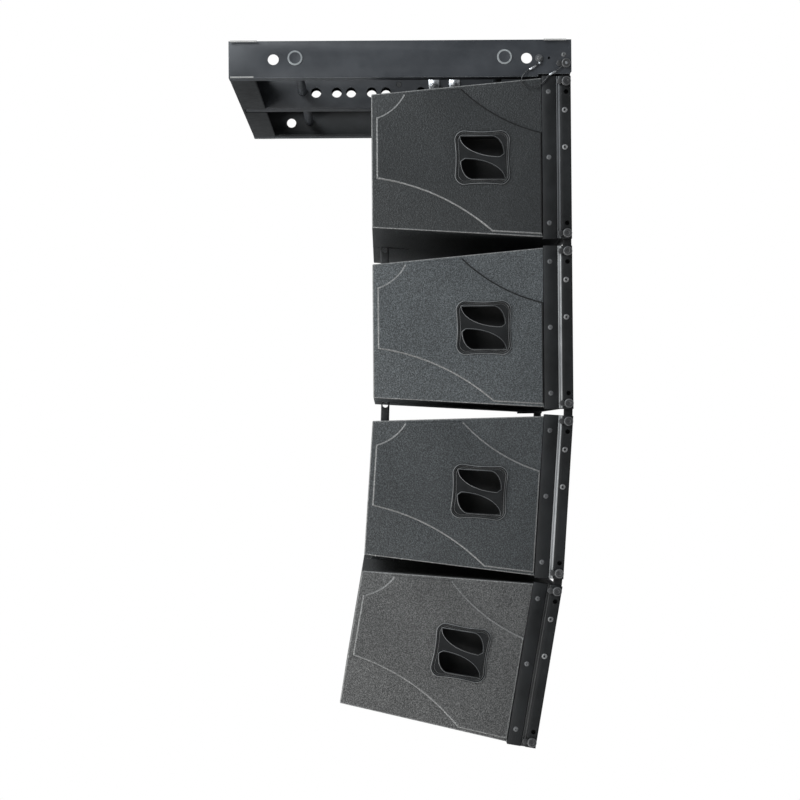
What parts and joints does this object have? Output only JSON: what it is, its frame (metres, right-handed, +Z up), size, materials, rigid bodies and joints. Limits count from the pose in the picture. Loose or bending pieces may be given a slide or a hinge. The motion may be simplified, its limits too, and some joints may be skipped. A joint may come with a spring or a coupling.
{
  "type": "line array speaker",
  "caption": "Wedge-shaped two-way speaker cabinets hung in a J from a steel flying frame by front links and rear splay struts.",
  "frame": {"origin": "centre of the hoist shackle's pin, which holds the whole array up", "axes": "+X the way the speakers face, +Y the array's left side, +Z up"},
  "size_m": [0.743, 1.02, 1.6173],
  "materials": {
    "textured_paint": "rough textured black-grey coating on plywood",
    "grille": "black powder coat on perforated steel",
    "moulded_plastic": "finely grained black moulding",
    "horn_plastic": "satin black moulding",
    "driver": "dark paper cone in a coated basket",
    "link_steel": "black oxide",
    "strut_steel": "black powder coat",
    "lanyard_wire": "black plastic coated steel wire",
    "zinc": "bright zinc plate",
    "rail_steel": "satin black powder coat",
    "frame_steel": "satin black-grey powder coat"
  },
  "bodies": {
    "flying_frame": {"frame_side_beam_right": "frame_steel", "frame_side_beam_left": "frame_steel", "frame_rear_channel": "frame_steel", "frame_front_channel": "frame_steel", "frame_centre_bar": "frame_steel", "frame_tie_tube_rear": "frame_steel", "frame_tie_tube_front": "frame_steel", "shackle_pin": "zinc", "pin_lanyard": "lanyard_wire"},
    "shackle": {"shackle_bow": "zinc"},
    "link_1": {"link1_right": "link_steel", "link1_left": "link_steel"},
    "strut_1": {"rear_strut_1": "strut_steel"},
    "cabinet_1": {"cab1_enclosure": "textured_paint", "cab1_grille": "grille", "cab1_hf_horn": "horn_plastic", "cab1_handle_right": "moulded_plastic", "cab1_handle_left": "moulded_plastic", "cab1_side_frame_right": "rail_steel", "cab1_side_frame_left": "rail_steel", "cab1_woofer_right": "driver", "cab1_woofer_left": "driver"},
    "link_2": {"link2_right": "link_steel", "link2_left": "link_steel"},
    "strut_2": {"rear_strut_2": "strut_steel"},
    "cabinet_2": {"cab2_enclosure": "textured_paint", "cab2_grille": "grille", "cab2_hf_horn": "horn_plastic", "cab2_handle_right": "moulded_plastic", "cab2_handle_left": "moulded_plastic", "cab2_side_frame_right": "rail_steel", "cab2_side_frame_left": "rail_steel", "cab2_woofer_right": "driver", "cab2_woofer_left": "driver"},
    "link_3": {"link3_right": "link_steel", "link3_left": "link_steel"},
    "strut_3": {"rear_strut_3": "strut_steel"},
    "cabinet_3": {"cab3_enclosure": "textured_paint", "cab3_grille": "grille", "cab3_hf_horn": "horn_plastic", "cab3_handle_right": "moulded_plastic", "cab3_handle_left": "moulded_plastic", "cab3_side_frame_right": "rail_steel", "cab3_side_frame_left": "rail_steel", "cab3_woofer_right": "driver", "cab3_woofer_left": "driver"},
    "link_4": {"link4_right": "link_steel", "link4_left": "link_steel"},
    "strut_4": {"rear_strut_4": "strut_steel"},
    "cabinet_4": {"cab4_enclosure": "textured_paint", "cab4_grille": "grille", "cab4_hf_horn": "horn_plastic", "cab4_handle_right": "moulded_plastic", "cab4_handle_left": "moulded_plastic", "cab4_side_frame_right": "rail_steel", "cab4_side_frame_left": "rail_steel", "cab4_woofer_right": "driver", "cab4_woofer_left": "driver", "cab4_stowed_pin_right": "link_steel", "cab4_stowed_pin_left": "link_steel"}
  },
  "joints": [
    {"name": "shackle_swing", "type": "hinge", "parent": "flying_frame", "child": "shackle", "pos_m": [0, 0, 0], "axis": [1, 0, 0], "range_deg": [-90, 90]},
    {"name": "link_swing_1", "type": "hinge", "parent": "flying_frame", "child": "link_1", "pos_m": [0.2447, 0, -0.0741], "axis": [0, 1, 0], "range_deg": [0, 1.25]},
    {"name": "splay_1", "type": "hinge", "parent": "link_1", "child": "cabinet_1", "pos_m": [0.2447, 0, -0.113], "axis": [0, 1, 0], "range_deg": [0, 1.25]},
    {"name": "strut_swing_1", "type": "hinge", "parent": "flying_frame", "child": "strut_1", "pos_m": [-0.1132, 0, -0.044], "axis": [0, 1, 0], "range_deg": [0, 1.25]},
    {"name": "link_swing_2", "type": "hinge", "parent": "cabinet_1", "child": "link_2", "pos_m": [0.2447, 0, -0.4426], "axis": [0, 1, 0], "range_deg": [0, 4]},
    {"name": "splay_2", "type": "hinge", "parent": "link_2", "child": "cabinet_2", "pos_m": [0.2447, 0, -0.4815], "axis": [0, 1, 0], "range_deg": [0, 4]},
    {"name": "strut_swing_2", "type": "hinge", "parent": "cabinet_1", "child": "strut_2", "pos_m": [-0.1503, 0, -0.4078], "axis": [0, 1, 0], "range_deg": [0, 4]},
    {"name": "link_swing_3", "type": "hinge", "parent": "cabinet_2", "child": "link_3", "pos_m": [0.2447, 0, -0.8111], "axis": [0, 1, 0], "range_deg": [-2, 2]},
    {"name": "splay_3", "type": "hinge", "parent": "link_3", "child": "cabinet_3", "pos_m": [0.24334, 0, -0.84998], "axis": [0, 1, 0], "range_deg": [-2, 2]},
    {"name": "strut_swing_3", "type": "hinge", "parent": "cabinet_2", "child": "strut_3", "pos_m": [-0.1503, 0, -0.7763], "axis": [0, 1, 0], "range_deg": [-2, 2]},
    {"name": "link_swing_4", "type": "hinge", "parent": "cabinet_3", "child": "link_4", "pos_m": [0.22035, 0, -1.17877], "axis": [0, 1, 0], "range_deg": [-3, 1]},
    {"name": "splay_4", "type": "hinge", "parent": "link_4", "child": "cabinet_4", "pos_m": [0.21561, 0, -1.21738], "axis": [0, 1, 0], "range_deg": [-3, 1]},
    {"name": "strut_swing_4", "type": "hinge", "parent": "cabinet_3", "child": "strut_4", "pos_m": [-0.17126, 0, -1.1165], "axis": [0, 1, 0], "range_deg": [-3, 1]}
  ],
  "couplings": [
    {"joint": "link_swing_1", "follows": "splay_1", "ratio": 1},
    {"joint": "strut_swing_1", "follows": "splay_1", "ratio": 1},
    {"joint": "link_swing_2", "follows": "splay_2", "ratio": 1},
    {"joint": "strut_swing_2", "follows": "splay_2", "ratio": 1},
    {"joint": "link_swing_3", "follows": "splay_3", "ratio": 1},
    {"joint": "strut_swing_3", "follows": "splay_3", "ratio": 1},
    {"joint": "link_swing_4", "follows": "splay_4", "ratio": 1},
    {"joint": "strut_swing_4", "follows": "splay_4", "ratio": 1}
  ]
}
